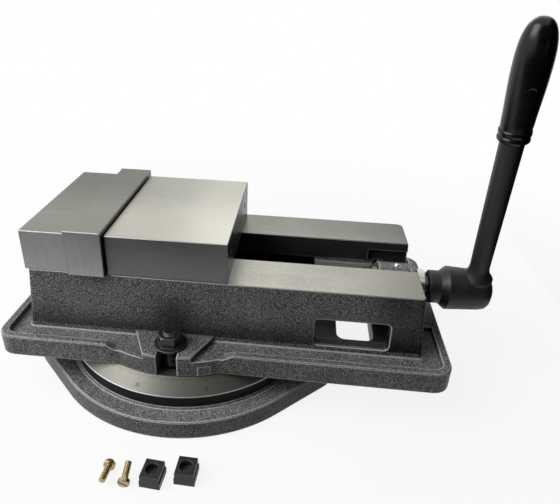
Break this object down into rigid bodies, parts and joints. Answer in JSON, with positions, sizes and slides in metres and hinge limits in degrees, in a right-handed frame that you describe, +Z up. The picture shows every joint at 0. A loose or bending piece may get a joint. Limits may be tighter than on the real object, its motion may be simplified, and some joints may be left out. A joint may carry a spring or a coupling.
{
  "type": "swivel machine vise",
  "caption": "Machine vise with ground jaws on a graduated swivel base, closed by a lead screw with a removable hand crank.",
  "frame": {"origin": "swivel centre on the table, at the middle of the base's flat underside", "axes": "+Z up along the swivel axis, +X along the rails towards the crank, -Y the front with the visible clamp bolt"},
  "size_m": [0.4762, 0.3492, 0.354],
  "materials": {
    "hammertone_paint": "dark grey hammertone enamel",
    "base_paint": "dark grey hammertone enamel",
    "ground_steel": "surface ground",
    "turned_steel": "fine turned",
    "black_oxide": "black oxide, satin",
    "nut_iron": "machined iron",
    "satin_black": "satin black enamel on forged steel",
    "grip_plastic": "gloss black",
    "yellow_zinc": "yellow zinc plated steel",
    "key_black": "blackened"
  },
  "bodies": {
    "base": {"swivel_base": "base_paint", "pivot_pin": "turned_steel", "table_key_1": "key_black", "table_key_2": "key_black", "key_screw_1": "yellow_zinc", "key_screw_2": "yellow_zinc"},
    "bed": {"vise_bed": "hammertone_paint", "fixed_jaw_block": "ground_steel", "fixed_jaw_plate": "ground_steel", "fixed_jaw_key": "black_oxide", "fixed_jaw_screw_1": "black_oxide", "fixed_jaw_screw_2": "black_oxide", "bearing_housing": "hammertone_paint", "oil_plug": "turned_steel", "thrust_bearing": "turned_steel", "clamp_bolt_front": "black_oxide", "clamp_bolt_back": "black_oxide"},
    "jaw": {"movable_jaw": "ground_steel", "jaw_nut": "nut_iron", "half_ball": "turned_steel", "nut_set_screw": "black_oxide"},
    "screw": {"lead_screw": "turned_steel", "thrust_collar": "turned_steel"},
    "crank": {"crank": "satin_black", "crank_grip": "grip_plastic"},
    "front_nut": {"clamp_nut_front": "black_oxide"},
    "back_nut": {"clamp_nut_back": "black_oxide"}
  },
  "joints": [
    {"name": "bed_swivel", "type": "hinge", "parent": "base", "child": "bed", "pos_m": [0, 0, 0.0446], "axis": [0, 0, 1], "continuous": true},
    {"name": "jaw_slide", "type": "slide", "parent": "bed", "child": "jaw", "axis": [1, 0, 0], "range_m": [-0.0008, 0.155]},
    {"name": "screw_turn", "type": "hinge", "parent": "bed", "child": "screw", "pos_m": [0.1877, 0, 0.0915], "axis": [1, 0, 0], "range_deg": [-57.6, 11160]},
    {"name": "crank_pull", "type": "slide", "parent": "screw", "child": "crank", "axis": [1, 0, 0], "range_m": [0, 0.028]},
    {"name": "front_nut_turn", "type": "hinge", "parent": "bed", "child": "front_nut", "pos_m": [0, -0.0965, 0.0667], "axis": [0, 0, 1], "range_deg": [0, 1080]},
    {"name": "back_nut_turn", "type": "hinge", "parent": "bed", "child": "back_nut", "pos_m": [0, 0.0965, 0.0667], "axis": [0, 0, 1], "range_deg": [0, 1080]}
  ],
  "couplings": [
    {"joint": "jaw_slide", "follows": "screw_turn", "m_per_rad": 0.00079577}
  ]
}
